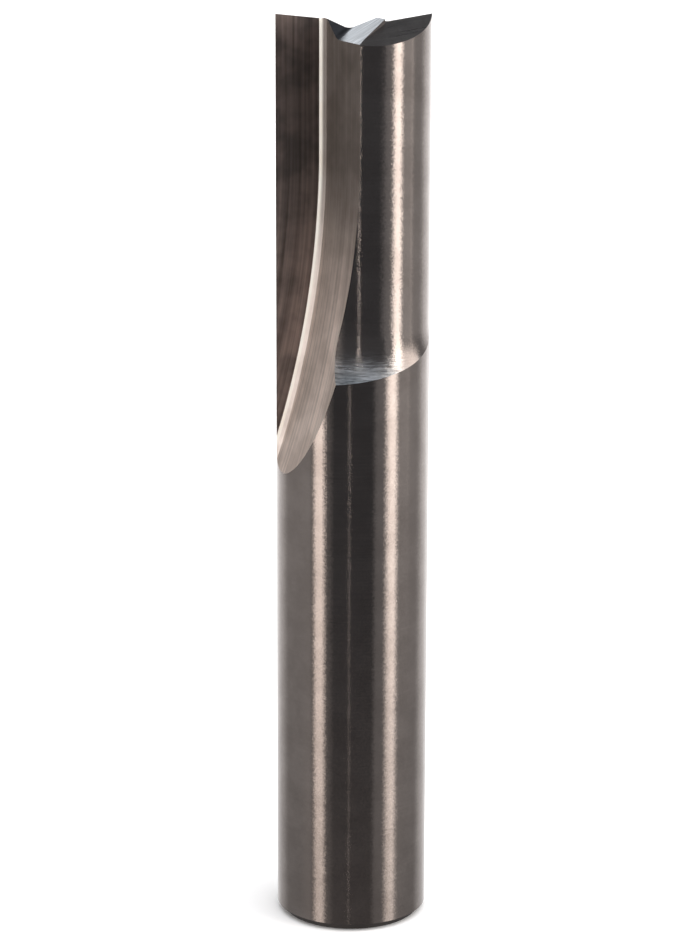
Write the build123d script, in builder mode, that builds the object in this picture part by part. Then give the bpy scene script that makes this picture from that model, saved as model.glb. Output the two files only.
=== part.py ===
from build123d import *
import os
from math import acos, cos, degrees, hypot, radians, sin, tan

# Two-flute straight router bit, ground from one rod of solid carbide.
# Its shank, flutes, lands, lips and notched end are all cut into the same piece.
# The origin is the centre of the shank's end face, +Z runs up the axis to the cutting end,
# and the two cutting edges lie on the X axis. Seen from the cutting end, the bit turns anticlockwise.
# Lengths are in millimetres and angles in degrees.

# Rod
rod_diameter = 12.7
overall_length = 76.8
shank_chamfer = 0.6

# Flutes: a wide wheel runs along the rod, its side grinds the rake face and its rim the wall
rake_angle = 21.0
core_thickness = 3.2
flute_wheel_radius = 76.2
flute_wheel_corner = 0.45
straight_flute_length = 11.1

# Lands: an eccentric arc backs off each cutting edge, and runs out of the rod in a hollow
cutting_length = 25.4
land_relief_angle = 6.0
land_radius_drop = 0.7
land_runout_radius = 6.0
land_lead_angle = 15.0
land_sweep_angle = 165.0

# Lips at the end: dished towards the axis, backed off towards the heel, and stopped at a slant over the core
lip_dish_angle = 7.0
end_relief_angle = 24.5
end_stop_setback = 0.26
end_stop_angle = 31.6

# Gashes: two shallow grooves cross at the axis, one cut deeper than the other
gash_floor_depths = (1.15, 1.36)
gash_floor_rise = 28.5
gash_side_depths = (1.64, 0.87)
gash_side_rise = 38.2
gash_side_turn = 8.5
gash_corner_radius = 1.0

# How far the grinding spaces reach beyond the metal, and a lesser reach beside the lands
overrun = 2.0
land_overrun = 0.5

# Sizes that follow from the ones above
rod_radius = rod_diameter / 2
rod_top = overall_length + overrun
rake_cos = cos(radians(rake_angle))
rake_sin = sin(radians(rake_angle))
axis_from_edge = rod_radius * rake_cos
flute_depth = axis_from_edge - core_thickness / 2
arc_start_height = overall_length - straight_flute_length
land_end_height = overall_length - cutting_length
land_radius = rod_radius - land_radius_drop
land_centre_x = rod_radius - land_radius * cos(radians(land_relief_angle))
land_centre_y = land_radius * sin(radians(land_relief_angle))

# Directions of the first flute: across its rake face from edge to root, and out of it along the wall
across = Vector(rake_cos, rake_sin, 0)
along_wall = Vector(rake_sin, -rake_cos, 0)
upwards = Vector(0, 0, 1)
first_edge = Vector(-rod_radius, 0, 0)
rake_plane = Plane(origin=first_edge, x_dir=across, z_dir=along_wall)
across_axis = Axis(first_edge, across)
wall_axis = Axis(first_edge, along_wall)


def sloping_plane(point, slope_across, slope_along):
    """Plane through a point, with its slopes across and along the flute wall; its normal points up."""
    rise_across = across + Vector(0, 0, slope_across)
    rise_along = along_wall + Vector(0, 0, slope_along)
    return Plane(origin=point, x_dir=rise_across, z_dir=rise_along.cross(rise_across))


# Space of one flute: straight beside the cutting end, then the wheel's rim leaves the rod in a long arc
exit_angle = degrees(acos(1 - (flute_depth + overrun) / flute_wheel_radius))
exit_height = arc_start_height - flute_wheel_radius * sin(radians(exit_angle))
with BuildPart() as flute_space:
    with BuildSketch(rake_plane):
        with BuildLine():
            wheel_centre = (flute_depth - flute_wheel_radius, arc_start_height)
            CenterArc(wheel_centre, flute_wheel_radius, 0, -exit_angle)
            Polyline(
                (flute_depth, arc_start_height),
                (flute_depth, rod_top),
                (-overrun, rod_top),
                (-overrun, exit_height),
            )
        make_face()
    extrude(amount=rod_diameter)
    root_line = flute_space.edges().filter_by(Axis.Z).group_by(wall_axis)[0].sort_by(across_axis)[-1]
    root_arc = flute_space.edges().filter_by(GeomType.CIRCLE).sort_by(wall_axis)[0]
    fillet((root_line, root_arc), flute_wheel_corner)

# Space of one land: outside the eccentric arc, with a hollow run-out below the cutting length
land_reach = rod_radius + hypot(land_centre_x, land_centre_y) + land_overrun
runout_angle = degrees(acos(1 - (land_reach - land_radius) / land_runout_radius))
runout_end_height = land_end_height - land_runout_radius * sin(radians(runout_angle))
land_centre = Vector(land_centre_x, land_centre_y, 0)
land_start = Vector(1, 0, 0).rotate(Axis.Z, land_lead_angle)
with BuildPart() as land_space:
    with BuildSketch(Plane(origin=land_centre, x_dir=land_start, z_dir=land_start.cross(upwards))):
        with BuildLine():
            runout_centre = (land_radius + land_runout_radius, land_end_height)
            CenterArc(runout_centre, land_runout_radius, 180, runout_angle)
            Polyline(
                (land_radius, land_end_height),
                (land_radius, rod_top),
                (land_reach, rod_top),
                (land_reach, runout_end_height),
            )
        make_face()
    revolve(axis=Axis(land_centre, (0, 0, -1)), revolution_arc=land_sweep_angle)

# Space over one end face: dished along the lip and backed off behind it
# It stops along a slanting line, from just behind the flute's root to the far flute wall
lip_corner = first_edge + Vector(0, 0, overall_length)
end_plane = sloping_plane(lip_corner, -tan(radians(lip_dish_angle)), tan(radians(end_relief_angle)))
end_reach = axis_from_edge + core_thickness / 2
end_stop_run = core_thickness * tan(radians(end_stop_angle))
grinding_width = 2 * (rod_diameter + overrun)
with BuildPart() as end_space:
    with BuildSketch(Plane(origin=lip_corner, x_dir=across, z_dir=upwards)):
        with BuildLine():
            Polyline(
                (-overrun, grinding_width / 2),
                (-overrun, -grinding_width / 2),
                (flute_depth, -grinding_width / 2),
                (flute_depth, end_stop_setback),
                (end_reach, end_stop_setback + end_stop_run),
                (end_reach, grinding_width / 2),
                close=True,
            )
        make_face()
    extrude(amount=rod_radius, both=True)
    split(bisect_by=end_plane, keep=Keep.TOP)


def gash_space(floor_depth, side_depth):
    """Space of one gash: a wide V with a rounded bottom, from the near flute wall across the core."""
    tip = Vector(0, 0, overall_length)
    floor_plane = sloping_plane(tip - Vector(0, 0, floor_depth), tan(radians(gash_floor_rise)), 0)
    side_slope = tan(radians(gash_side_rise))
    side_plane = sloping_plane(
        tip - Vector(0, 0, side_depth),
        side_slope * sin(radians(gash_side_turn)),
        -side_slope * cos(radians(gash_side_turn)),
    )
    with BuildPart() as space:
        with BuildSketch(Plane(origin=tip, x_dir=across, z_dir=upwards)):
            with Locations(((rod_diameter - core_thickness) / 2, 0)):
                Rectangle(rod_diameter, grinding_width)
        extrude(amount=rod_radius, both=True)
        split(bisect_by=floor_plane, keep=Keep.TOP)
        split(bisect_by=side_plane, keep=Keep.TOP)
        floor_face = space.faces().filter_by(floor_plane)[0]
        side_face = space.faces().filter_by(side_plane)[0]
        fillet(floor_face.edges() & side_face.edges(), gash_corner_radius)
    return space.part


gashes = [gash_space(*depths) for depths in zip(gash_floor_depths, gash_side_depths)]

# The bit: one rod, with every space ground out of it twice, half a turn apart
with BuildPart() as router_bit:
    Cylinder(rod_radius, overall_length, align=(Align.CENTER, Align.CENTER, Align.MIN))
    chamfer(router_bit.edges().filter_by(GeomType.CIRCLE).sort_by(Axis.Z)[0], shank_chamfer)
    with PolarLocations(0, 2):
        add(flute_space.part, mode=Mode.SUBTRACT)
        add(land_space.part, mode=Mode.SUBTRACT)
        add(end_space.part, mode=Mode.SUBTRACT)
    for half_turn, gash in zip((0, 180), gashes):
        add(gash, rotation=(0, 0, half_turn), mode=Mode.SUBTRACT)

router_bit.part.label = "router_bit"

os.makedirs("parts", exist_ok=True)
export_step(router_bit.part, "parts/router_bit.step")
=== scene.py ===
"""Dresses a two-flute straight router bit, ground from one rod of solid carbide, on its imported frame.

The bit is ground here as it is in a tool grinder: a rod, and grinding spaces that are taken out of it in
passes. Each face keeps the finish of the wheel that left it. Lengths are in millimetres and angles in
degrees. What goes into the scene is in metres, as the frame is.
"""

from __future__ import annotations

import logging
from dataclasses import dataclass
from enum import Enum, IntEnum
from math import acos, atan2, cos, hypot, pi, radians, sin, tan
from typing import Any

import bmesh
import bpy
from mathutils import Matrix, Vector

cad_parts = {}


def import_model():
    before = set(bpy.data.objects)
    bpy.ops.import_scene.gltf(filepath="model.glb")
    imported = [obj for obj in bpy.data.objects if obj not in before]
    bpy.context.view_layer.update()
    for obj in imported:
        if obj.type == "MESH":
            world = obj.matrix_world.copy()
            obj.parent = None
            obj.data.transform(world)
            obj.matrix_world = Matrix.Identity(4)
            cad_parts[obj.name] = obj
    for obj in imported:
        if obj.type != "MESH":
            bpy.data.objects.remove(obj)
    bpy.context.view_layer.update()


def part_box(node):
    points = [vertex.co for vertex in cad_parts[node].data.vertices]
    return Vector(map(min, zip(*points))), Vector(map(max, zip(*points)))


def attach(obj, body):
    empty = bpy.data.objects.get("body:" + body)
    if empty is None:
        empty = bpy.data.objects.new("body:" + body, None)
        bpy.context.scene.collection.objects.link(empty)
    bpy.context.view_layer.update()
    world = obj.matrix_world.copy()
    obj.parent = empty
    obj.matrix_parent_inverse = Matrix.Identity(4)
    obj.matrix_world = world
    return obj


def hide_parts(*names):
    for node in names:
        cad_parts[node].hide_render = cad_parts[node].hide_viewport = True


LOG = logging.getLogger("router_bit")

Material = bpy.types.Material
Mesh = bpy.types.Mesh
Object = bpy.types.Object
Shape = bmesh.types.BMesh
Socket = bpy.types.NodeSocket
Tree = bpy.types.NodeTree
Point = tuple[float, float]

NODE = "router_bit"
BODY = "root"
GRAIN_MAP = "Grain"
CUT_ATTRIBUTE = "cut"

MM = 0.001
UP = Vector((0.0, 0.0, 1.0))
HALF_TURN = 180.0
# Turn of the photograph's camera about the bit's axis
PHOTO_HEADING = -3.4
# Cosines of angles between face normals that count as none and as square
SAME_WAY = 0.9999
SQUARE = 0.001
# Corners closer than this are one
MERGE_DISTANCE = 0.0005
# Nearly all of the marks' noise lies between the first two values, and the clouds fade in between the others
MARK_RANGE = (0.3, 0.7)
CLOUD_RANGE = (0.35, 0.68)
# How much the marks change the roughness, as a share of it
MARK_ROUGHNESS = 0.12
# How strongly each finer layer of a noise counts
NOISE_ROUGHNESS = 0.55
# Setting of a ramp that starts and ends gently
EASED = {"interpolation_type": "SMOOTHSTEP"}


def linear_colour(code: str) -> tuple[float, float, float, float]:
    """Turns an sRGB hex colour to linear light.

    Args:
        code: The colour, such as "#c8b8a4".

    Returns:
        Red, green, blue and an alpha of one.
    """
    channels = [int(code[i : i + 2], 16) / 255 for i in (1, 3, 5)]
    light = [c / 12.92 if c <= 0.04045 else ((c + 0.055) / 1.055) ** 2.4 for c in channels]
    return (*light, 1.0)


def add_node(tree: Tree, kind: str, settings: dict[str, Any] | None = None,
             inputs: dict[Any, Any] | None = None) -> bpy.types.Node:
    """Adds a node with its settings, and sets or links its inputs.

    Args:
        tree: The tree that the node is added to.
        kind: The node's type, such as "ShaderNodeMath".
        settings: Values of the node's own properties.
        inputs: A value, or an output socket to link, for each input by name or number.

    Returns:
        The new node.
    """
    node = tree.nodes.new(kind)
    for name, value in (settings or {}).items():
        setattr(node, name, value)
    for key, value in (inputs or {}).items():
        if isinstance(value, Socket):
            tree.links.new(value, node.inputs[key])
        else:
            node.inputs[key].default_value = value
    return node


def linked(name: str, data: bpy.types.ID) -> Object:
    """Adds an object to the scene.

    Args:
        name: Its name.
        data: Its mesh, light or camera.

    Returns:
        The object.
    """
    made = bpy.data.objects.new(name, data)
    bpy.context.scene.collection.objects.link(made)
    return made


class Cut(IntEnum):
    """The part of a grinding wheel that left a face."""

    NONE = 0
    SIDE = 1
    RIM = 2
    CORNER = 3


class Grain(Enum):
    """The way that the grinding marks run over a face."""

    AROUND_ROD = "around the rod"
    AROUND_LAND = "around the land's own centre"
    ALONG_FLUTE = "along the flute"
    ACROSS_END = "across the end, from lip to axis"


@dataclass(frozen=True)
class BitSizes:
    """Sizes of the ground bit. The rod's diameter and length come from the frame."""

    rod_diameter: float
    overall_length: float
    shank_chamfer: float = 0.6
    rake_angle: float = 21.0
    core_thickness: float = 3.2
    flute_wheel_radius: float = 76.2
    flute_wheel_corner: float = 0.45
    straight_flute_length: float = 11.1
    cutting_length: float = 25.4
    land_relief_angle: float = 6.0
    land_radius_drop: float = 0.7
    land_runout_radius: float = 6.0
    land_lead_angle: float = 15.0
    land_sweep_angle: float = 165.0
    lip_dish_angle: float = 7.0
    end_relief_angle: float = 24.5
    end_stop_setback: float = 0.26
    end_stop_angle: float = 31.6
    gash_floor_rise: float = 28.5
    gash_side_rise: float = 38.2
    gash_side_turn: float = 8.5
    gash_corner_radius: float = 1.0
    overrun: float = 2.0

    @classmethod
    def from_frame(cls, node: str) -> BitSizes:
        """Reads the rod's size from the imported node.

        Args:
            node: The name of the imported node.

        Returns:
            The sizes of the bit.
        """
        low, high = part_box(node)
        size = (high - low) / MM
        return cls(rod_diameter=round(size.x, 2), overall_length=round(size.z, 2))

    @property
    def rod_radius(self) -> float:
        """Half the rod's diameter."""
        return self.rod_diameter / 2

    @property
    def rod_top(self) -> float:
        """Height that the grinding spaces reach above the bit."""
        return self.overall_length + self.overrun

    @property
    def land_end(self) -> float:
        """Height where the lands' run-outs start."""
        return self.overall_length - self.cutting_length

    @property
    def arc_start(self) -> float:
        """Height where the flutes start to rise out of the rod."""
        return self.overall_length - self.straight_flute_length

    @property
    def across(self) -> Vector:
        """Direction across the first rake face, from its edge to its root."""
        return Vector((cos(radians(self.rake_angle)), sin(radians(self.rake_angle)), 0.0))

    @property
    def along_wall(self) -> Vector:
        """Direction out of the first rake face, along the flute's wall."""
        return Vector((sin(radians(self.rake_angle)), -cos(radians(self.rake_angle)), 0.0))

    @property
    def first_edge(self) -> Vector:
        """Foot of the first cutting edge."""
        return Vector((-self.rod_radius, 0.0, 0.0))

    @property
    def axis_from_edge(self) -> float:
        """Distance from a cutting edge to the axis, across the rake face."""
        return self.rod_radius * cos(radians(self.rake_angle))

    @property
    def flute_depth(self) -> float:
        """Depth of a flute, from its edge to its wall."""
        return self.axis_from_edge - self.core_thickness / 2

    @property
    def land_radius(self) -> float:
        """Radius of the eccentric arc behind a cutting edge."""
        return self.rod_radius - self.land_radius_drop

    @property
    def land_centre(self) -> Vector:
        """Centre of the eccentric arc behind the second cutting edge."""
        relief = radians(self.land_relief_angle)
        return Vector((self.rod_radius - self.land_radius * cos(relief), self.land_radius * sin(relief), 0.0))

    def beside(self, start: Vector, outline: list[Point]) -> list[Vector]:
        """Places an outline in space, measured from the start across the first rake face and out of it."""
        return [start + self.across * a + self.along_wall * b for a, b in outline]


def steps(whole: float, count: int) -> list[float]:
    """Even steps from nought to the whole, with both ends."""
    return [whole * i / count for i in range(count + 1)]


def solid_mesh(name: str, shape: Shape) -> Mesh:
    """Ends a closed shape as a mesh in metres, with its faces pointing outwards.

    Args:
        name: The mesh's name.
        shape: The shape in millimetres. It is freed here.

    Returns:
        The mesh.
    """
    bmesh.ops.recalc_face_normals(shape, faces=shape.faces)
    bmesh.ops.scale(shape, vec=(MM,) * 3, verts=shape.verts)
    mesh = bpy.data.meshes.new(name)
    shape.to_mesh(mesh)
    shape.free()
    return mesh


def loft(rings: list[list[Vector]], cuts: list[Cut]) -> Shape:
    """Joins closed rings of points to one closed shape, with a flat face at each end.

    Args:
        rings: The rings, all with as many points.
        cuts: For each stretch of a ring, the part of the wheel that grinds with it.

    Returns:
        The shape, whose faces carry their cut.
    """
    shape = bmesh.new()
    cut = shape.faces.layers.int.new(CUT_ATTRIBUTE)
    points = [[shape.verts.new(p) for p in ring] for ring in rings]
    for low, high in zip(points, points[1:]):
        for i, kind in enumerate(cuts):
            after = (i + 1) % len(cuts)
            shape.faces.new((low[i], low[after], high[after], high[i]))[cut] = kind
    for ring in (points[0], points[-1]):
        shape.faces.new(ring)[cut] = Cut.SIDE
    return shape


@dataclass(frozen=True)
class FluteSpace:
    """Space of one flute: a wide wheel runs straight down beside the edge, then rises out in an arc."""

    sizes: BitSizes
    arc_steps: int = 56
    corner_steps: int = 10

    def section(self) -> list[Point]:
        """Outlines the wheel.

        Returns:
            Each point's radius on the wheel and distance out of the rake face.
        """
        wheel, corner = self.sizes.flute_wheel_radius, self.sizes.flute_wheel_corner
        turns = [radians(turn) for turn in steps(90, self.corner_steps)]
        rounded = [(wheel - corner + corner * cos(t), corner - corner * sin(t)) for t in turns]
        inner = wheel - self.sizes.flute_depth - self.sizes.overrun
        width = self.sizes.rod_diameter
        return [(wheel, width), *rounded, (inner, 0.0), (inner, width)]

    def ring(self, turn: float, height: float) -> list[Vector]:
        """Places the wheel's outline somewhere on its path.

        Args:
            turn: How far round the wheel the outline stands, in radians, from level.
            height: Height of the wheel's centre.

        Returns:
            The outline's points.
        """
        s = self.sizes
        centre = s.first_edge + s.across * (s.flute_depth - s.flute_wheel_radius) + UP * height
        outward = s.across * cos(turn) - UP * sin(turn)
        return [centre + outward * radius + s.along_wall * out for radius, out in self.section()]

    def mesh(self) -> Mesh:
        """Builds the space.

        Returns:
            The space as a closed mesh.
        """
        s = self.sizes
        exit_turn = acos(1 - (s.flute_depth + s.overrun) / s.flute_wheel_radius)
        rings = [self.ring(0.0, s.rod_top)]
        rings += [self.ring(turn, s.arc_start) for turn in steps(exit_turn, self.arc_steps)]
        cuts = [Cut.RIM] + [Cut.CORNER] * self.corner_steps + [Cut.SIDE] * 3
        return solid_mesh("flute_space", loft(rings, cuts))


@dataclass(frozen=True)
class LandSpace:
    """Space of one land: outside the eccentric arc, with a hollow run-out below the cutting length."""

    sizes: BitSizes
    sweep_steps: int = 132
    runout_steps: int = 14
    reach_past_rod: float = 0.5

    def section(self) -> list[Point]:
        """Outlines the space.

        Returns:
            Each point's distance from the land's centre and its height.
        """
        s = self.sizes
        reach = s.rod_radius + hypot(*s.land_centre.xy) + self.reach_past_rod
        runout = s.land_runout_radius
        turns = steps(acos(1 - (reach - s.land_radius) / runout), self.runout_steps)
        hollow = [(s.land_radius + runout - runout * cos(t), s.land_end - runout * sin(t)) for t in turns]
        return [(s.land_radius, s.rod_top), *hollow, (reach, s.rod_top)]

    def mesh(self) -> Mesh:
        """Builds the space.

        Returns:
            The space as a closed mesh.
        """
        s = self.sizes
        rings = []
        for swept in steps(s.land_sweep_angle, self.sweep_steps):
            turn = radians(s.land_lead_angle - swept)
            outward = Vector((cos(turn), sin(turn), 0.0))
            rings.append([s.land_centre + outward * radius + UP * height for radius, height in self.section()])
        cuts = [Cut.RIM] + [Cut.CORNER] * self.runout_steps + [Cut.SIDE] * 2
        return solid_mesh("land_space", loft(rings, cuts))


@dataclass(frozen=True)
class EndSpace:
    """Space over one end face, dished along its lip, backed off behind it and stopped over the core."""

    sizes: BitSizes

    def mesh(self) -> Mesh:
        """Builds the space.

        Returns:
            The space as a closed mesh.
        """
        s = self.sizes
        dish, relief = tan(radians(s.lip_dish_angle)), tan(radians(s.end_relief_angle))
        reach, width = s.axis_from_edge + s.core_thickness / 2, s.rod_diameter + s.overrun
        stop_run = s.core_thickness * tan(radians(s.end_stop_angle))
        outline = [(-s.overrun, -width), (reach, -width), (reach, -s.end_stop_setback - stop_run),
                   (s.flute_depth, -s.end_stop_setback), (s.flute_depth, width), (-s.overrun, width)]
        level = s.beside(s.first_edge + UP * s.overall_length, outline)
        low = [point + UP * (relief * b - dish * a) for point, (a, b) in zip(level, outline)]
        high = [point + UP * s.rod_diameter for point in level]
        return solid_mesh("end_space", loft([low, high], [Cut.SIDE] * len(outline)))


@dataclass(frozen=True)
class GashSpace:
    """Space of one gash: a wide V with a rounded bottom, from the near flute wall across the core."""

    sizes: BitSizes
    floor_depth: float
    side_depth: float
    corner_steps: int = 12

    def slope_normal(self, slope_across: float, slope_along: float) -> Vector:
        """Works out the upward normal of a plane.

        Args:
            slope_across: Its slope across the flute's wall.
            slope_along: Its slope along the wall.

        Returns:
            The normal.
        """
        rise_across = self.sizes.across + UP * slope_across
        rise_along = self.sizes.along_wall + UP * slope_along
        return rise_along.cross(rise_across).normalized()

    def mesh(self) -> Mesh:
        """Builds the space.

        Returns:
            The space as a closed mesh.
        """
        s = self.sizes
        side_slope, side_turn = tan(radians(s.gash_side_rise)), radians(s.gash_side_turn)
        floor = self.slope_normal(tan(radians(s.gash_floor_rise)), 0.0)
        side = self.slope_normal(side_slope * sin(side_turn), -side_slope * cos(side_turn))
        near, far = -s.core_thickness / 2, s.rod_diameter - s.core_thickness / 2
        width = s.rod_diameter + s.overrun
        outline = [(near, -width), (far, -width), (far, width), (near, width)]
        tip = UP * s.overall_length
        rings = [s.beside(tip + UP * height, outline) for height in (-s.rod_radius, s.rod_radius)]
        shape = loft(rings, [Cut.SIDE] * len(outline))
        for depth, normal in ((self.floor_depth, floor), (self.side_depth, side)):
            everything = [*shape.verts, *shape.edges, *shape.faces]
            bmesh.ops.bisect_plane(shape, geom=everything, plane_co=tip - UP * depth, plane_no=normal,
                                   clear_inner=True)
            bmesh.ops.contextual_create(shape, geom=[edge for edge in shape.edges if edge.is_boundary])
        self.round_valley(shape, floor, side)
        self.name_faces(shape, floor, side)
        return solid_mesh("gash_space", shape)

    def round_valley(self, shape: Shape, floor: Vector, side: Vector) -> None:
        """Rounds the edge between the floor and the side.

        Args:
            shape: The space.
            floor: The floor's normal.
            side: The side's normal.
        """
        shape.normal_update()
        for edge in list(shape.edges):
            beside = [face.normal for face in edge.link_faces]
            if all(any(abs(n.dot(wanted)) > SAME_WAY for n in beside) for wanted in (floor, side)):
                half = (pi - edge.calc_face_angle(0.0)) / 2
                bmesh.ops.bevel(shape, geom=[edge], offset=self.sizes.gash_corner_radius / tan(half),
                                offset_type="OFFSET", segments=self.corner_steps, profile=0.5,
                                affect="EDGES", clamp_overlap=False)
                return

    def name_faces(self, shape: Shape, floor: Vector, side: Vector) -> None:
        """Gives the floor, the side and the rounded valley their own cuts.

        Args:
            shape: The space.
            floor: The floor's normal.
            side: The side's normal.
        """
        shape.normal_update()
        cut = shape.faces.layers.int[CUT_ATTRIBUTE]
        valley = floor.cross(side).normalized()
        for face in shape.faces:
            face[cut] = Cut.SIDE
            if abs(face.normal.dot(floor)) > SAME_WAY:
                face[cut] = Cut.RIM
            elif abs(face.normal.dot(side)) < SAME_WAY and abs(face.normal.dot(valley)) < SQUARE:
                face[cut] = Cut.CORNER


@dataclass(frozen=True)
class Look:
    """What a finish gives the shader."""

    colour: Socket
    roughness: Socket
    normal: Socket

    def blended(self, tree: Tree, share: Socket, other: Look) -> Look:
        """Mixes this look with another.

        Args:
            tree: The material's tree.
            share: The share of the other look.
            other: The other look.

        Returns:
            The mixed look.
        """
        # A Mix node has sockets of its own for each type, so they are given by number
        colour = add_node(tree, "ShaderNodeMix", {"data_type": "RGBA"}, {
            0: share, 6: self.colour, 7: other.colour})
        roughness = add_node(tree, "ShaderNodeMix", {"data_type": "FLOAT"}, {
            0: share, 2: self.roughness, 3: other.roughness})
        normal = add_node(tree, "ShaderNodeMix", {"data_type": "VECTOR"}, {
            0: share, 4: self.normal, 5: other.normal})
        return Look(colour.outputs[2], roughness.outputs[0], normal.outputs[1])


@dataclass(frozen=True)
class Marks:
    """Grinding marks: how far apart, how long and how deep they are, and how much they darken or lighten."""

    spacing: float
    length: float
    depth: float
    contrast: float = 0.1


@dataclass(frozen=True)
class Grit:
    """Carbide grains: the relief between them, their size, and how far each is tilted on its own."""

    depth: float = 0.001
    size: float = 0.09
    tilt: float = 0.0


@dataclass(frozen=True)
class PaintedShade:
    """Painted shade towards the top: the heights where it starts and is full, and the share of the colour it
    keeps.
    """

    starts_at: float = 0.0
    full_at: float = 0.0
    passes: float = 1.0


@dataclass(frozen=True)
class GroundFinish:
    """Sintered tungsten carbide as one grinding wheel left it.

    The metal is a mid grey that leans to brown. The marks spread a reflection across themselves and keep it
    sharp along themselves, so the roughness is anisotropic. The grit of the wheel leaves a fine sparkle.
    """

    name: str
    colour: str
    cloud_colour: str
    grain: Grain
    roughness: float
    anisotropy: float
    marks: Marks
    grit: Grit = Grit()
    painted_shade: PaintedShade = PaintedShade()
    metallic: float = 1.0
    cloud_size: float = 3.0

    def material(self) -> Material:
        """Builds the finish.

        Returns:
            The finish as a material.
        """
        made = bpy.data.materials.new(self.name)
        made.use_nodes = True
        tree = made.node_tree
        tree.nodes.clear()
        look = self.look(tree)
        across = add_node(tree, "ShaderNodeTangent", {"direction_type": "UV_MAP", "uv_map": GRAIN_MAP})
        shader = add_node(tree, "ShaderNodeBsdfPrincipled", {}, {
            "Base Color": look.colour, "Metallic": self.metallic, "Roughness": look.roughness,
            "Anisotropic": self.anisotropy, "Normal": look.normal, "Tangent": across.outputs[0]})
        add_node(tree, "ShaderNodeOutputMaterial", {}, {"Surface": shader.outputs[0]})
        return made

    def look(self, tree: Tree) -> Look:
        """Adds the finish's colour, roughness and relief.

        Args:
            tree: The material's tree.

        Returns:
            The sockets for the shader.
        """
        marks = self.mark_height(tree)
        place = add_node(tree, "ShaderNodeTexCoord").outputs["Object"]
        height = add_node(tree, "ShaderNodeSeparateXYZ", {}, {0: place}).outputs["Z"]
        clouds = add_node(tree, "ShaderNodeTexNoise", {}, {
            "Vector": place, "Scale": 1 / (self.cloud_size * MM), "Detail": 3.0, "Roughness": NOISE_ROUGHNESS})
        grit = add_node(tree, "ShaderNodeTexNoise", {}, {
            "Vector": place, "Scale": 1 / (self.grit.size * MM), "Detail": 1.0, "Roughness": NOISE_ROUGHNESS})
        clouded = add_node(tree, "ShaderNodeMapRange", EASED, {
            "Value": clouds.outputs["Fac"], "From Min": CLOUD_RANGE[0], "From Max": CLOUD_RANGE[1]})
        worn = add_node(tree, "ShaderNodeMix", {"data_type": "RGBA"}, {
            0: clouded.outputs[0], 6: linear_colour(self.colour), 7: linear_colour(self.cloud_colour)})
        streak, roughness = (add_node(tree, "ShaderNodeMapRange", {}, {
            "Value": marks, "From Min": MARK_RANGE[0], "From Max": MARK_RANGE[1],
            "To Min": level * (1 - change), "To Max": level * (1 + change)}).outputs[0]
            for level, change in ((1.0, self.marks.contrast), (self.roughness, MARK_ROUGHNESS)))
        # Painted shade: the colour darkens towards the top, between the two heights
        painted_shade = add_node(tree, "ShaderNodeMapRange", EASED, {
            "Value": height, "From Min": self.painted_shade.starts_at * MM, "From Max": self.painted_shade.full_at * MM,
            "To Min": 1.0, "To Max": self.painted_shade.passes})
        shade = add_node(tree, "ShaderNodeMath", {"operation": "MULTIPLY"}, {0: streak, 1: painted_shade.outputs[0]})
        colour = add_node(tree, "ShaderNodeVectorMath", {"operation": "SCALE"}, {
            0: worn.outputs[2], "Scale": shade.outputs[0]})
        scored = add_node(tree, "ShaderNodeBump", {}, {
            "Height": marks, "Strength": 1.0, "Distance": self.marks.depth * MM})
        gritty = add_node(tree, "ShaderNodeBump", {}, {
            "Height": grit.outputs["Fac"], "Strength": 1.0, "Distance": self.grit.depth * MM,
            "Normal": scored.outputs[0]})
        return Look(colour.outputs[0], roughness, self.glinting(tree, place, gritty.outputs[0]))

    def glinting(self, tree: Tree, place: Socket, normal: Socket) -> Socket:
        """Tilts each grain of the carbide a little on its own, so that bright reflections sparkle.

        Args:
            tree: The material's tree.
            place: The place on the bit.
            normal: The surface's direction before.

        Returns:
            The direction with the tilts.
        """
        grains = add_node(tree, "ShaderNodeTexVoronoi", {}, {
            "Vector": place, "Scale": 1 / (self.grit.size * MM)})
        most = self.grit.tilt
        tilt = add_node(tree, "ShaderNodeVectorMath", {"operation": "MULTIPLY_ADD"}, {
            0: grains.outputs["Color"], 1: (2 * most,) * 3, 2: (-most,) * 3})
        tilted = add_node(tree, "ShaderNodeVectorMath", {"operation": "ADD"}, {0: normal, 1: tilt.outputs[0]})
        direction = add_node(tree, "ShaderNodeVectorMath", {"operation": "NORMALIZE"}, {0: tilted.outputs[0]})
        return direction.outputs[0]

    def mark_height(self, tree: Tree) -> Socket:
        """Adds the grinding marks, which are long one way and close together the other way.

        Args:
            tree: The material's tree.

        Returns:
            The height of the marks, about one half on average.
        """
        if self.grain in (Grain.AROUND_ROD, Grain.AROUND_LAND):
            place = add_node(tree, "ShaderNodeTexCoord").outputs["Object"]
            length, spacing = 1 / (self.marks.length * MM), 1 / (self.marks.spacing * MM)
            scale = (length, length, spacing)
        else:
            place = add_node(tree, "ShaderNodeUVMap", {"uv_map": GRAIN_MAP}).outputs["UV"]
            scale = (1 / self.marks.spacing, 1 / self.marks.length, 1.0)
        stretched = add_node(tree, "ShaderNodeMapping", {"vector_type": "POINT"}, {
            "Vector": place, "Scale": scale})
        return add_node(tree, "ShaderNodeTexNoise", {}, {
            "Vector": stretched.outputs[0], "Scale": 1.0, "Detail": 5.0,
            "Roughness": NOISE_ROUGHNESS}).outputs["Fac"]


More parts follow.
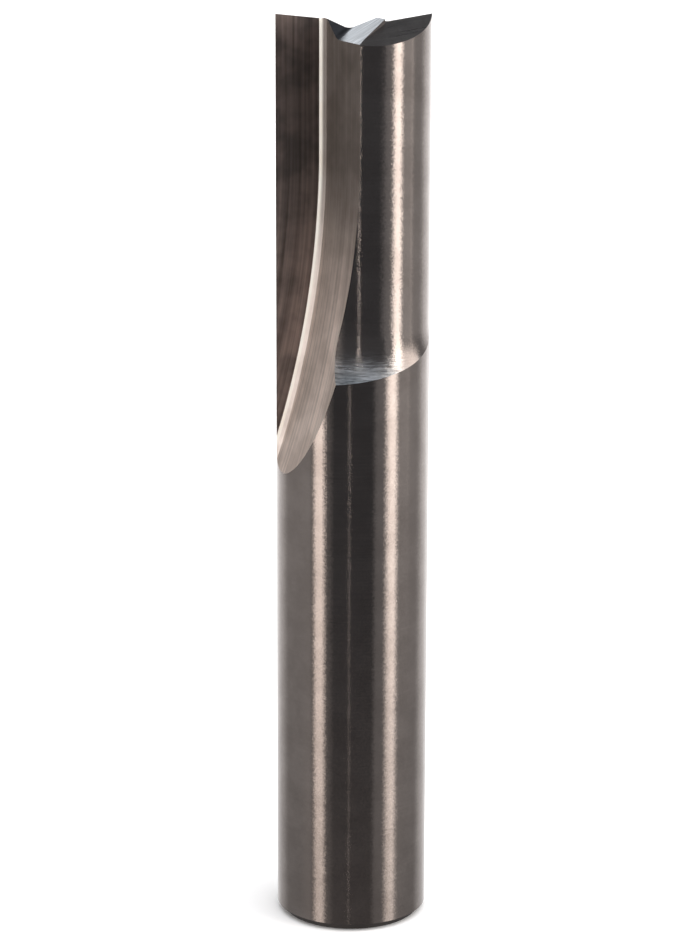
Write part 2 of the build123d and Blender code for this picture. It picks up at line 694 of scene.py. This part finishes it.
@dataclass(frozen=True)
class RunoutFinish(GroundFinish):
    """A finish that starts like the one above it, and grows coarser down to the ledge and round to the heel.

    The heights are above the shank's end, and the other two lengths are round the land from its edge.
    """

    above: GroundFinish | None = None
    starts_at: float = 0.0
    coarse_at: float = 0.0
    smooth_round_to: float = 0.0
    coarse_round_from: float = 0.0

    def look(self, tree: Tree) -> Look:
        """Adds the looks of both finishes, mixed by height and by the way round.

        Args:
            tree: The material's tree.

        Returns:
            The sockets for the shader.
        """
        place = add_node(tree, "ShaderNodeTexCoord").outputs["Object"]
        height = add_node(tree, "ShaderNodeSeparateXYZ", {}, {0: place}).outputs["Z"]
        map_place = add_node(tree, "ShaderNodeUVMap", {"uv_map": GRAIN_MAP}).outputs["UV"]
        way_round = add_node(tree, "ShaderNodeSeparateXYZ", {}, {0: map_place}).outputs["Y"]
        lower = add_node(tree, "ShaderNodeMapRange", EASED, {
            "Value": height, "From Min": self.starts_at * MM, "From Max": self.coarse_at * MM})
        share = add_node(tree, "ShaderNodeMapRange", EASED, {
            "Value": way_round, "From Min": self.smooth_round_to, "From Max": self.coarse_round_from,
            "To Max": lower.outputs[0]})
        return self.above.look(tree).blended(tree, share.outputs[0], super().look(tree))


@dataclass(frozen=True)
class RootHighlightFinish(GroundFinish):
    """A painted highlight: a near-white finish on the rake side of the root, going over to the wall's on the
    other side.

    Both lengths are across the root, from its middle.
    """

    beside: GroundFinish | None = None
    highlight_to: float = 0.0
    wall_from: float = 0.0

    def look(self, tree: Tree) -> Look:
        """Adds the looks of both finishes, mixed across the root.

        Args:
            tree: The material's tree.

        Returns:
            The sockets for the shader.
        """
        map_place = add_node(tree, "ShaderNodeUVMap", {"uv_map": GRAIN_MAP}).outputs["UV"]
        across = add_node(tree, "ShaderNodeSeparateXYZ", {}, {0: map_place}).outputs["X"]
        # The painted highlight is full on the rake side of the root and fades into the wall's look
        share = add_node(tree, "ShaderNodeMapRange", EASED, {
            "Value": across, "From Min": self.highlight_to, "From Max": self.wall_from})
        return super().look(tree).blended(tree, share.outputs[0], self.beside.look(tree))


class Finishes:
    """All the finishes on the bit, by name."""

    # Cylindrical grinding leaves rings too fine to see, so they are drawn 0.12 mm apart. They are shallow, and
    # the reflection stays sharp round the shank and is drawn out along it.
    SHANK = GroundFinish("carbide_ground_round", "#bcb4b0", "#b1a9a5", Grain.AROUND_ROD, 0.15, 0.8,
                         Marks(spacing=0.12, length=9.0, depth=0.0001, contrast=0.02),
                         Grit(depth=0.0006, size=0.12, tilt=0.014))
    # The chamfer is ground with a coarser wheel and stays dull. Its dark colour is painted shade: the shadow at
    # the bit's foot.
    CHAMFER = GroundFinish("carbide_ground_chamfer_painted_shade", "#4c4643", "#3d3835", Grain.AROUND_ROD, 0.45, 0.4,
                           Marks(spacing=0.12, length=6.0, depth=0.001), Grit(depth=0.003))
    # The eccentric relief is ground round the land, like the shank, and sparkles more.
    LAND = GroundFinish("carbide_relief_ground", "#bcb4b0", "#b1a9a5", Grain.AROUND_LAND, 0.15, 0.8,
                        Marks(spacing=0.12, length=8.0, depth=0.0001, contrast=0.02),
                        Grit(depth=0.0006, size=0.1, tilt=0.02))
    # The wheel dwells in the run-out, which gets frosted and scored towards the ledge.
    RUNOUT = RunoutFinish("carbide_runout_scored", "#c6c9cb", "#80868a", Grain.AROUND_LAND, 0.34, 0.8,
                          Marks(spacing=0.1, length=1.0, depth=0.02, contrast=0.75),
                          Grit(depth=0.002, tilt=0.05), above=LAND, starts_at=50.6, coarse_at=47.4,
                          smooth_round_to=4.6, coarse_round_from=7.4)
    # The wheel's side drags along the rake face, and its marks run lengthwise. The face's upper part is
    # darkened with painted shade.
    RAKE = GroundFinish("carbide_rake_ground", "#b8a7a1", "#8f8581", Grain.ALONG_FLUTE, 0.38, 0.7,
                        Marks(spacing=0.4, length=26.0, depth=0.002, contrast=0.5),
                        painted_shade=PaintedShade(starts_at=52.0, full_at=74.0, passes=0.55), metallic=0.93)
    # The wheel's rim leaves longer marks, closer together, on the flute wall, which has the same painted shade.
    WALL = GroundFinish("carbide_wall_ground", "#e4d6cd", "#ccbeb5", Grain.ALONG_FLUTE, 0.5, 0.7,
                        Marks(spacing=0.24, length=30.0, depth=0.0015, contrast=0.24),
                        painted_shade=PaintedShade(starts_at=51.7, full_at=65.0, passes=0.33), metallic=0.82)
    # The wheel's corner breaks down first and leaves the root frosted. Its near-white colour is a painted
    # highlight:
    # the bright cream line along the root.
    ROOT_HIGHLIGHT = RootHighlightFinish("carbide_root_frosted_painted_highlight", "#fffaf0", "#fdf2e4", Grain.ALONG_FLUTE, 0.5, 0.6,
                      Marks(spacing=0.1, length=20.0, depth=0.0004, contrast=0.05),
                      metallic=0.05, beside=WALL, highlight_to=-0.34, wall_from=0.06)
    # The end faces are ground with a fine wheel, and their grains glint.
    END = GroundFinish("carbide_end_ground", "#928e8c", "#858180", Grain.ACROSS_END, 0.3, 0.5,
                       Marks(spacing=0.2, length=6.0, depth=0.0012, contrast=0.12),
                       Grit(depth=0.004, tilt=0.05))
    # The gashes' floors show fine lines from lip to axis.
    GASH = GroundFinish("carbide_gash_ground", "#cdcfd1", "#b9bbbd", Grain.ACROSS_END, 0.26, 0.6,
                        Marks(spacing=0.16, length=5.0, depth=0.005, contrast=0.5))
    # Their sides are coloured darker than the floors.
    GASH_SIDE = GroundFinish("carbide_gash_side_ground", "#686a6e", "#595b5f", Grain.ACROSS_END, 0.3, 0.5,
                             Marks(spacing=0.2, length=5.0, depth=0.002, contrast=0.15))

    @classmethod
    def all(cls) -> list[GroundFinish]:
        """Every finish, in the order in which a bit is ground."""
        return [cls.SHANK, cls.CHAMFER, cls.RAKE, cls.WALL, cls.ROOT_HIGHLIGHT, cls.LAND, cls.RUNOUT, cls.END, cls.GASH,
                cls.GASH_SIDE]


@dataclass(frozen=True)
class GrindingPass:
    """One pass of the grinder: what it takes out, what each part of the wheel leaves behind, and how often."""

    name: str
    space: Mesh
    finishes: dict[Cut, GroundFinish]
    copies: int = 2
    first_turn: float = 0.0


class GrindingTree:
    """Geometry Nodes tree of one grinding pass: it takes one space out of the bit, in all its places."""

    FINISH_INPUTS = {Cut.SIDE: "Side Finish", Cut.RIM: "Rim Finish", Cut.CORNER: "Corner Finish"}
    INPUTS = {"Bit": "Geometry", "Space": "Object", "Copies": "Int", "First Turn": "Float",
              **dict.fromkeys(FINISH_INPUTS.values(), "Material")}

    def __init__(self) -> None:
        """Builds the tree."""
        self.tree = bpy.data.node_groups.new("grinding_pass", "GeometryNodeTree")
        new_socket = self.tree.interface.new_socket
        self.sockets = {name: new_socket(name, in_out="INPUT", socket_type="NodeSocket" + kind).identifier
                        for name, kind in self.INPUTS.items()}
        new_socket("Bit", in_out="OUTPUT", socket_type="NodeSocketGeometry")
        self.fill()

    def fill(self) -> None:
        """Adds the nodes: spaces round the axis, the cut, and the finish of each ground face."""
        tree = self.tree
        given = add_node(tree, "NodeGroupInput").outputs
        unground = add_node(tree, "GeometryNodeStoreNamedAttribute", {"data_type": "INT", "domain": "FACE"}, {
            "Geometry": given["Bit"], "Name": CUT_ATTRIBUTE, "Value": int(Cut.NONE)})
        space = add_node(tree, "GeometryNodeObjectInfo", {}, {"Object": given["Space"]})
        stations = add_node(tree, "GeometryNodeMeshLine", {}, {
            "Count": given["Copies"], "Offset": (0.0, 0.0, 0.0)})
        share = add_node(tree, "ShaderNodeMath", {"operation": "DIVIDE"}, {
            0: add_node(tree, "GeometryNodeInputIndex").outputs[0], 1: given["Copies"]})
        turn = add_node(tree, "ShaderNodeMath", {"operation": "MULTIPLY_ADD"}, {
            0: share.outputs[0], 1: 2 * pi, 2: given["First Turn"]})
        about_axis = add_node(tree, "ShaderNodeCombineXYZ", {}, {"Z": turn.outputs[0]})
        placed = add_node(tree, "GeometryNodeInstanceOnPoints", {}, {
            "Points": stations.outputs[0], "Instance": space.outputs["Geometry"],
            "Rotation": about_axis.outputs[0]})
        spaces = add_node(tree, "GeometryNodeRealizeInstances", {}, {"Geometry": placed.outputs[0]})
        ground = add_node(tree, "GeometryNodeMeshBoolean", {"operation": "DIFFERENCE", "solver": "EXACT"}, {
            "Mesh 1": unground.outputs[0], "Mesh 2": spaces.outputs[0]})
        made = add_node(tree, "GeometryNodeRealizeInstances", {}, {
            "Geometry": ground.outputs["Mesh"]}).outputs[0]
        kind = add_node(tree, "GeometryNodeInputNamedAttribute", {"data_type": "INT"}, {"Name": CUT_ATTRIBUTE})
        for cut, finish in self.FINISH_INPUTS.items():
            # The whole numbers that the node compares are its sockets 2 and 3
            chosen = add_node(tree, "FunctionNodeCompare", {"data_type": "INT", "operation": "EQUAL"}, {
                2: kind.outputs[0], 3: int(cut)})
            made = add_node(tree, "GeometryNodeSetMaterial", {}, {
                "Geometry": made, "Selection": chosen.outputs[0], "Material": given[finish]}).outputs[0]
        add_node(tree, "NodeGroupOutput", {}, {"Bit": made})

    def run(self, bit: Object, grinding: GrindingPass, looks: dict[str, Material]) -> Object:
        """Adds one pass to the bit.

        Args:
            bit: The bit's object.
            grinding: The pass.
            looks: The materials by name.

        Returns:
            The object of the space that is ground out.
        """
        space = linked(grinding.name, grinding.space)
        step = bit.modifiers.new(grinding.name, "NODES")
        step.node_group = self.tree
        step[self.sockets["Space"]] = space
        step[self.sockets["Copies"]] = grinding.copies
        step[self.sockets["First Turn"]] = radians(grinding.first_turn)
        for cut, name in self.FINISH_INPUTS.items():
            finish = grinding.finishes.get(cut, grinding.finishes[Cut.SIDE])
            step[self.sockets[name]] = looks[finish.name]
        return space


@dataclass(frozen=True)
class GrainLines:
    """Lays out the map that follows the grinding marks: across them one way and along them the other, in mm."""

    sizes: BitSizes

    def around(self, point: Vector, middle: Vector, centre: Vector, radius: float) -> Point:
        """Places a point of a round face by its height, and its distance round the centre.

        Args:
            point: The point.
            middle: The middle of its face, which says on which turn the point lies.
            centre: The centre of the round face.
            radius: Its radius.

        Returns:
            Distance across and along the marks.
        """
        start = atan2(middle.y - centre.y, middle.x - centre.x)
        turn = atan2(point.y - centre.y, point.x - centre.x) - start
        turn = (turn + pi) % (2 * pi) - pi
        return point.z, (start + turn) * radius

    def along_wheel(self, point: Vector, middle: Vector) -> Point:
        """Places a point in a flute by its distance across the wheel's path, and its place along the path.

        Args:
            point: The point.
            middle: The middle of its face, which says in which flute the point lies.

        Returns:
            Distance across and along the marks.
        """
        s = self.sizes
        side = 1.0 if middle.dot(s.across) < 0 else -1.0
        flat = Vector((side * point.x, side * point.y, 0.0)) - s.first_edge
        across = flat.dot(s.across) - s.flute_depth
        below = s.arc_start - point.z
        if below > 0:
            reach = across + s.flute_wheel_radius
            across = hypot(reach, below) - s.flute_wheel_radius
            below = atan2(below, reach) * s.flute_wheel_radius
        return across + flat.dot(s.along_wall), -below

    def place(self, grain: Grain, point: Vector, middle: Vector) -> Point:
        """Places a point on the map.

        Args:
            grain: The way that the marks run on its face.
            point: The point, in millimetres.
            middle: The middle of its face.

        Returns:
            Distance across and along the marks.
        """
        s = self.sizes
        if grain is Grain.AROUND_ROD:
            return self.around(point, middle, Vector(), s.rod_radius)
        if grain is Grain.AROUND_LAND:
            side = 1.0 if middle.dot(s.along_wall) > 0 else -1.0
            turned = [Vector((side * v.x, side * v.y, v.z)) for v in (point, middle)]
            height, round_land = self.around(*turned, s.land_centre, s.land_radius)
            return height, -round_land
        if grain is Grain.ALONG_FLUTE:
            return self.along_wheel(point, middle)
        return point.dot(s.along_wall), point.dot(s.across)

    def draw(self, mesh: Mesh, grains: dict[str, Grain]) -> None:
        """Writes the map to a mesh.

        Args:
            mesh: The bit's mesh.
            grains: The grain of each material, by name.
        """
        layer = mesh.uv_layers.new(name=GRAIN_MAP)
        names = [material.name for material in mesh.materials]
        for face in mesh.polygons:
            grain = grains[names[face.material_index]]
            middle = face.center / MM
            for corner in face.loop_indices:
                point = mesh.vertices[mesh.loops[corner].vertex_index].co / MM
                layer.data[corner].uv = self.place(grain, point, middle)


@dataclass
class GroundBit:
    """The bit: one rod, with every space ground out of it. Gash depths are of the floor and of the side."""

    sizes: BitSizes
    round_steps: int = 288
    sharp_from: float = 14.0
    gash_depths: tuple[Point, ...] = ((1.15, 1.64), (1.36, 0.87))

    def rod(self) -> Mesh:
        """Turns the rod before grinding, with its chamfered foot.

        Returns:
            The rod, with the shank's material first and the chamfer's second.
        """
        s = self.sizes
        outline = [(s.rod_radius - s.shank_chamfer, 0.0), (s.rod_radius, s.shank_chamfer),
                   (s.rod_radius, s.overall_length)]
        shape = bmesh.new()
        turns = steps(2 * pi, self.round_steps)[:-1]
        rings = [[shape.verts.new((radius * cos(t), radius * sin(t), height)) for t in turns]
                 for radius, height in outline]
        for level, (low, high) in enumerate(zip(rings, rings[1:])):
            for i in range(self.round_steps):
                after = (i + 1) % self.round_steps
                face = shape.faces.new((low[i], low[after], high[after], high[i]))
                face.material_index = 1 if level == 0 else 0
        for ring in (rings[0], rings[-1]):
            shape.faces.new(ring).material_index = 1
        return solid_mesh("rod", shape)

    def passes(self) -> list[GrindingPass]:
        """Lists the grinding passes.

        Returns:
            The passes, in the grinder's order.
        """
        s, f = self.sizes, Finishes
        passes = [
            GrindingPass("flutes", FluteSpace(s).mesh(),
                         {Cut.SIDE: f.RAKE, Cut.RIM: f.WALL, Cut.CORNER: f.ROOT_HIGHLIGHT}),
            GrindingPass("lands", LandSpace(s).mesh(),
                         {Cut.SIDE: f.LAND, Cut.RIM: f.LAND, Cut.CORNER: f.RUNOUT}),
            GrindingPass("lips", EndSpace(s).mesh(), {Cut.SIDE: f.END}),
        ]
        for i, depths in enumerate(self.gash_depths):
            passes.append(GrindingPass(f"gash_{i + 1}", GashSpace(s, *depths).mesh(),
                                       {Cut.SIDE: f.GASH_SIDE, Cut.RIM: f.GASH},
                                       copies=1, first_turn=HALF_TURN * i))
        return passes

    def build(self) -> Object:
        """Grinds the bit and dresses it.

        Returns:
            The finished piece, with no modifier left on it.
        """
        looks = {finish.name: finish.material() for finish in Finishes.all()}
        grinder = GrindingTree()
        blank = linked("blank", self.rod())
        for finish in (Finishes.SHANK, Finishes.CHAMFER):
            blank.data.materials.append(looks[finish.name])
        spaces = [grinder.run(blank, grinding, looks) for grinding in self.passes()]
        ready = blank.evaluated_get(bpy.context.evaluated_depsgraph_get())
        mesh = bpy.data.meshes.new_from_object(ready)
        for used in (blank, *spaces):
            bpy.data.objects.remove(used)
        self.clean(mesh)
        GrainLines(self.sizes).draw(mesh, {finish.name: finish.grain for finish in Finishes.all()})
        return linked("ground_bit", mesh)

    def clean(self, mesh: Mesh) -> None:
        """Merges doubled points, drops slivers, and shades each ground face smooth up to its edges.

        Args:
            mesh: The ground mesh.
        """
        shape = bmesh.new()
        shape.from_mesh(mesh)
        bmesh.ops.remove_doubles(shape, verts=shape.verts, dist=MERGE_DISTANCE * MM)
        bmesh.ops.dissolve_degenerate(shape, edges=shape.edges, dist=MERGE_DISTANCE * MM)
        for face in shape.faces:
            face.smooth = True
        for edge in shape.edges:
            edge.smooth = edge.calc_face_angle(pi) < radians(self.sharp_from)
        LOG.info("ground bit: %d faces, %d open edges", len(shape.faces),
                 sum(1 for edge in shape.edges if not edge.is_manifold))
        shape.to_mesh(mesh)
        shape.free()
        mesh.attributes.remove(mesh.attributes[CUT_ATTRIBUTE])


@dataclass(frozen=True)
class Panel:
    """A bright field of the studio as the bit reflects it: a softbox, a card or the backdrop.

    Azimuth is seen from the bit: nought is towards the photograph's camera, and plus is to its right. Low and
    high are elevations, and beyond 90 degrees there is no such edge. Each edge fades over its soft width.
    """

    azimuth: float
    half_width: float
    soft_side: float
    low: float
    soft_low: float
    high: float
    soft_high: float
    colour: str
    strength: float


@dataclass(frozen=True)
class Studio:
    """The plain pale floor, the soft light and what the bit reflects."""

    ambient_colour: str = "#f3f5fc"
    ambient_strength: float = 0.05
    paper_strength: float = 1.2
    floor_colour: str = "#f4f4f4"
    floor_half_width: float = 3000.0
    floor_gap: float = 0.02
    lamp_energy: float = 3.5
    lamp_spread: float = 120.0
    lamp_tilt: Point = (12.0, 14.0)
    panels: tuple[Panel, ...] = (
        # The softbox to the right, and its fading lower end
        Panel(62.5, 2.5, 9.5, -9, 4, 60, 10, "#fff4eb", 2.2),
        Panel(62, 2.5, 11.5, -19.5, 13, -9, 4, "#fff4eb", 2.3),
        # Its spill further round, a narrow card beside that, and its spill towards the camera, high and low
        Panel(84, 3, 14, -12, 6, 40, 6, "#fff4eb", 0.15),
        Panel(92, 1, 2.5, -10, 6, 40, 6, "#fff4eb", 0.2),
        Panel(48, 4, 9, -9, 4, 45, 10, "#fdf8f6", 0.17),
        Panel(44, 6, 9, -24, 14, -9, 4, "#fdf8f6", 0.17),
        # The softbox to the left, and its spill
        Panel(-51, 3.5, 9.5, -21, 13, 2, 7, "#fff2e8", 1.85),
        Panel(-42, 4, 12, -24, 14, 45, 10, "#fff6f0", 0.12),
        # The upper halves of two softboxes beside the bit
        Panel(80, 18, 12, 12, 12, 60, 10, "#fff4eb", 1.6),
        Panel(-70, 16, 10, 14, 12, 60, 10, "#fff2e8", 1.1),
        # The paper behind the bit: a dim half circle, a bright middle and two brighter sides
        Panel(180, 112, 10, -24, 20, -5, 6, "#fff9f5", 0.18),
        Panel(180, 112, 10, -24, 20, 14, 6, "#fff9f5", 0.16),
        Panel(180, 5, 55, -24, 20, 8, 6, "#fcfdff", 0.85),
        Panel(150, 16, 22, -24, 20, 8, 6, "#ffffff", 0.4),
        Panel(-146, 14, 20, -24, 20, 8, 6, "#ffffff", 0.25),
        # The cool light above the paper, which the gashes' floors show
        Panel(180, 60, 30, 18, 6, 36, 12, "#f6faff", 1.4),
        # The gap between two dark cards in front, which draws a thin line down the bit
        Panel(-4, 0.15, 0.15, -9, 3, 60, 10, "#fff4ea", 5.0),
        Panel(-4, 0.15, 0.2, -40, 20, -9, 3, "#fff4ea", 0.4),
        # The dark card in front, and the table before it
        Panel(20, 50, 20, -8, 4, 60, 20, "#fbfaff", 0.025),
        Panel(0, 70, 20, -100, 5, -20, 3, "#ffece0", 0.06),
        # The paper below, as steep views from above show it: behind, under each softbox and all round
        Panel(180, 95, 50, -100, 5, -44, 12, "#fffaf6", 0.3),
        Panel(62, 6, 16, -100, 5, -46, 14, "#fff4eb", 0.6),
        Panel(-51, 6, 16, -100, 5, -46, 14, "#fff2e8", 0.5),
        Panel(0, 180, 1, -100, 5, -48, 14, "#fffaf6", 0.08),
        # The cool ceiling: in front, all round and straight above
        Panel(20, 75, 20, 52, 28, 100, 5, "#f2f7ff", 0.7),
        Panel(0, 180, 1, 48, 10, 100, 5, "#f6f8ff", 0.05),
        Panel(0, 180, 1, 80, 8, 100, 5, "#f2f7ff", 0.4),
    )

    def build(self) -> None:
        """Makes the world, the floor and the light over it."""
        self.world()
        self.floor()
        self.lamp()

    def world(self) -> None:
        """Makes the studio as the bit reflects it. The camera sees a plain white backdrop."""
        world = bpy.data.worlds.new("studio")
        bpy.context.scene.world = world
        world.use_nodes = True
        tree = world.node_tree
        tree.nodes.clear()
        seen = add_node(tree, "ShaderNodeTexCoord").outputs["Generated"]
        turned = add_node(tree, "ShaderNodeVectorRotate", {"rotation_type": "Z_AXIS"}, {
            "Vector": seen, "Angle": radians(-PHOTO_HEADING)})
        parts = add_node(tree, "ShaderNodeSeparateXYZ", {}, {0: turned.outputs[0]}).outputs
        ahead = add_node(tree, "ShaderNodeMath", {"operation": "MULTIPLY"}, {0: parts["Y"], 1: -1.0})
        azimuth = add_node(tree, "ShaderNodeMath", {"operation": "ARCTAN2"}, {
            0: parts["X"], 1: ahead.outputs[0]})
        height = add_node(tree, "ShaderNodeMath", {"operation": "ARCSINE"}, {0: parts["Z"]})
        total = add_node(tree, "ShaderNodeVectorMath", {"operation": "SCALE"}, {
            0: linear_colour(self.ambient_colour)[:3], "Scale": self.ambient_strength}).outputs[0]
        for panel in self.panels:
            light = self.panel_light(tree, panel, azimuth.outputs[0], height.outputs[0])
            total = add_node(tree, "ShaderNodeVectorMath", {"operation": "ADD"}, {
                0: total, 1: light}).outputs[0]
        studio = add_node(tree, "ShaderNodeBackground", {}, {"Color": total})
        paper = add_node(tree, "ShaderNodeBackground", {}, {
            "Color": linear_colour("#ffffff"), "Strength": self.paper_strength})
        direct = add_node(tree, "ShaderNodeLightPath").outputs["Is Camera Ray"]
        shown = add_node(tree, "ShaderNodeMixShader", {}, {
            0: direct, 1: studio.outputs[0], 2: paper.outputs[0]})
        add_node(tree, "ShaderNodeOutputWorld", {}, {"Surface": shown.outputs[0]})

    def panel_light(self, tree: Tree, panel: Panel, azimuth: Socket, height: Socket) -> Socket:
        """Adds one panel's light.

        Args:
            tree: The world's tree.
            panel: The panel.
            azimuth: The direction's azimuth, in radians.
            height: The direction's elevation, in radians.

        Returns:
            The light from the panel.
        """
        aside = add_node(tree, "ShaderNodeMath", {"operation": "SUBTRACT"}, {
            0: azimuth, 1: radians(panel.azimuth)})
        wrapped = add_node(tree, "ShaderNodeMath", {"operation": "WRAP"}, {0: aside.outputs[0], 1: pi, 2: -pi})
        either = add_node(tree, "ShaderNodeMath", {"operation": "ABSOLUTE"}, {0: wrapped.outputs[0]})
        # Each edge: the angle that it follows, the value where the light ends and the one where it is full
        edges = ((either.outputs[0], panel.half_width + panel.soft_side, panel.half_width),
                 (height, panel.low - panel.soft_low, panel.low + panel.soft_low),
                 (height, panel.high + panel.soft_high, panel.high - panel.soft_high))
        wide, above, below = (add_node(tree, "ShaderNodeMapRange", EASED, {
            "Value": angle, "From Min": radians(dark), "From Max": radians(bright)}).outputs[0]
            for angle, dark, bright in edges)
        share = add_node(tree, "ShaderNodeMath", {"operation": "MULTIPLY"}, {0: wide, 1: above})
        share = add_node(tree, "ShaderNodeMath", {"operation": "MULTIPLY"}, {0: share.outputs[0], 1: below})
        light = tuple(c * panel.strength for c in linear_colour(panel.colour)[:3])
        return add_node(tree, "ShaderNodeVectorMath", {"operation": "SCALE"}, {
            0: light, "Scale": share.outputs[0]}).outputs[0]

    def floor(self) -> None:
        """Lays a wide sheet of white paper just below the bit's foot, which the bit doesn't reflect."""
        half, below = self.floor_half_width * MM, -self.floor_gap * MM
        mesh = bpy.data.meshes.new("paper_floor")
        corners = [(-half, -half, below), (half, -half, below), (half, half, below), (-half, half, below)]
        mesh.from_pydata(corners, [], [(0, 1, 2, 3)])
        # Matt paper scatters nearly all light, and its weak gloss keeps the floor even
        paper = bpy.data.materials.new("matt_paper")
        paper.use_nodes = True
        inputs = paper.node_tree.nodes["Principled BSDF"].inputs
        inputs["Base Color"].default_value = linear_colour(self.floor_colour)
        inputs["Roughness"].default_value = 0.9
        inputs["Specular IOR Level"].default_value = 0.1
        mesh.materials.append(paper)
        floor = linked("paper_floor", mesh)
        floor.visible_glossy = False

    def lamp(self) -> None:
        """Hangs an even, very soft light from above for the floor, which the bit doesn't reflect."""
        data = bpy.data.lights.new("overhead", "SUN")
        data.energy = self.lamp_energy
        data.angle = radians(self.lamp_spread)
        lamp = linked("overhead", data)
        lamp.location = (0.0, 0.0, 1.0)
        lamp.rotation_euler = (radians(self.lamp_tilt[0]), radians(self.lamp_tilt[1]), 0.0)
        lamp.visible_glossy = False


@dataclass(frozen=True)
class PhotoCamera:
    """The camera that took the photograph, as fitted to the bit's outline."""

    focal_pixels: float = 2936.0
    long_side_pixels: int = 940
    sensor_width: float = 36.0
    eye: tuple[float, float, float] = (-0.197, -238.876, 98.388)
    pitch: float = 14.002
    roll: float = 0.181
    nearest: float = 10.0
    farthest: float = 20000.0

    def build(self) -> None:
        """Places the camera."""
        data = bpy.data.cameras.new("camera")
        data.sensor_width = self.sensor_width
        data.lens = self.focal_pixels * self.sensor_width / self.long_side_pixels
        data.clip_start = self.nearest * MM
        data.clip_end = self.farthest * MM
        camera = linked("camera", data)
        turn = Matrix.Rotation(radians(PHOTO_HEADING), 4, "Z")
        tilt = Matrix.Rotation(radians(90.0 - self.pitch), 4, "X")
        level = Matrix.Rotation(radians(self.roll), 4, "Z")
        camera.matrix_world = turn @ Matrix.Translation(Vector(self.eye) * MM) @ tilt @ level
        bpy.context.scene.camera = camera


def main() -> None:
    """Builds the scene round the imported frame."""
    logging.basicConfig(level=logging.INFO, format="%(name)s: %(message)s")
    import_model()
    bpy.context.scene.view_settings.view_transform = "Standard"
    PhotoCamera().build()
    Studio().build()
    sizes = BitSizes.from_frame(NODE)
    bit = GroundBit(sizes).build()
    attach(bit, BODY)
    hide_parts(NODE)
    LOG.info("%s rides on %s", bit.name, BODY)


if __name__ == "__main__":
    main()
